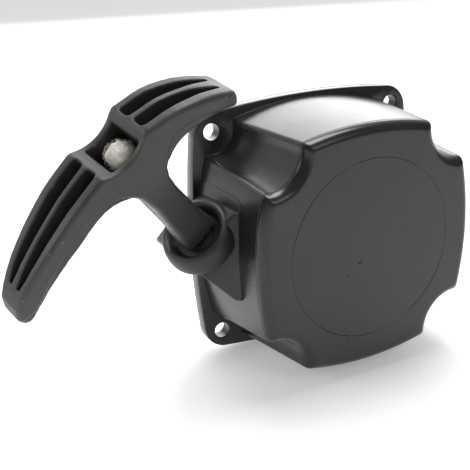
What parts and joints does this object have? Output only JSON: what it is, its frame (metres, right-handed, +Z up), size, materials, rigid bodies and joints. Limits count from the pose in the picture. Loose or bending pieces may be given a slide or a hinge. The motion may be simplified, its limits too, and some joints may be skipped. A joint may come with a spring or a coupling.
{
  "type": "recoil starter",
  "caption": "Square-flanged cup housing with a spring-returned rope reel, drive pawls and a T-handle on a rope that leaves through a horn on the side wall.",
  "frame": {"origin": "centre of the four bolt holes on the mounting face, on the reel axis", "axes": "+Y out of the mounting face towards the engine, -Y towards the cup's front face, +Z up as the starter stands, the rope horn on the -X side"},
  "size_m": [0.1706, 0.0515, 0.111],
  "materials": {
    "housing_plastic": "moulded black plastic, semi-gloss",
    "handle_plastic": "moulded black plastic, satin with worn edges",
    "reel_plastic": "natural nylon",
    "rope": "braided nylon cord, off-white",
    "zinc_steel": "zinc-plated sheet steel",
    "spring_steel": "blued spring steel",
    "pawl_steel": "sintered steel"
  },
  "bodies": {
    "housing": {"housing": "housing_plastic", "rope_eyelet": "zinc_steel", "spring_case": "zinc_steel", "recoil_spring": "spring_steel", "centre_sleeve": "zinc_steel", "thrust_washer": "zinc_steel", "brake_spring": "spring_steel", "screw_washer": "zinc_steel", "centre_screw": "zinc_steel", "rope_strand": "rope"},
    "rope_end": {"handle_knot": "rope"},
    "handle": {"handle": "handle_plastic"},
    "reel": {"reel": "reel_plastic", "rope_coil": "rope", "reel_knot": "rope", "pawl_spring_a": "spring_steel", "pawl_spring_b": "spring_steel"},
    "pawl_guide": {"pawl_guide": "zinc_steel"},
    "pawl_a": {"pawl_a": "pawl_steel"},
    "pawl_b": {"pawl_b": "pawl_steel"}
  },
  "joints": [
    {"name": "handle_pull", "type": "slide", "parent": "housing", "child": "rope_end", "axis": [-0.6063, -0.3584, 0.7099], "range_m": [0, 0.6], "stiffness_N_per_m": 33, "springref_m": -0.3, "deforming": ["rope_strand", "recoil_spring"]},
    {"name": "handle_twist", "type": "hinge", "parent": "rope_end", "child": "handle", "pos_m": [-0.056, -0.0236, 0.0115], "axis": [-0.6063, -0.3584, 0.7099], "range_deg": [-180, 180]},
    {"name": "reel_spin", "type": "hinge", "parent": "housing", "child": "reel", "pos_m": [0, 0, 0], "axis": [0, 1, 0], "range_deg": [0, 1350]},
    {"name": "guide_drag", "type": "hinge", "parent": "reel", "child": "pawl_guide", "pos_m": [0, 0, 0], "axis": [0, 1, 0], "range_deg": [-30, 0], "stiffness_Nm_per_rad": 0.02, "springref_deg": 17.19},
    {"name": "pawl_a_swing", "type": "hinge", "parent": "reel", "child": "pawl_a", "pos_m": [0.0152, 0, 0], "axis": [0, 1, 0], "range_deg": [-24, 0], "deforming": ["pawl_spring_a"]},
    {"name": "pawl_b_swing", "type": "hinge", "parent": "reel", "child": "pawl_b", "pos_m": [-0.0152, 0, 0], "axis": [0, 1, 0], "range_deg": [-24, 0], "deforming": ["pawl_spring_b"]}
  ],
  "couplings": [
    {"joint": "reel_spin", "follows": "handle_pull", "rad_per_m": 39.216},
    {"joint": "pawl_a_swing", "follows": "guide_drag", "ratio": 0.8},
    {"joint": "pawl_b_swing", "follows": "guide_drag", "ratio": 0.8}
  ]
}
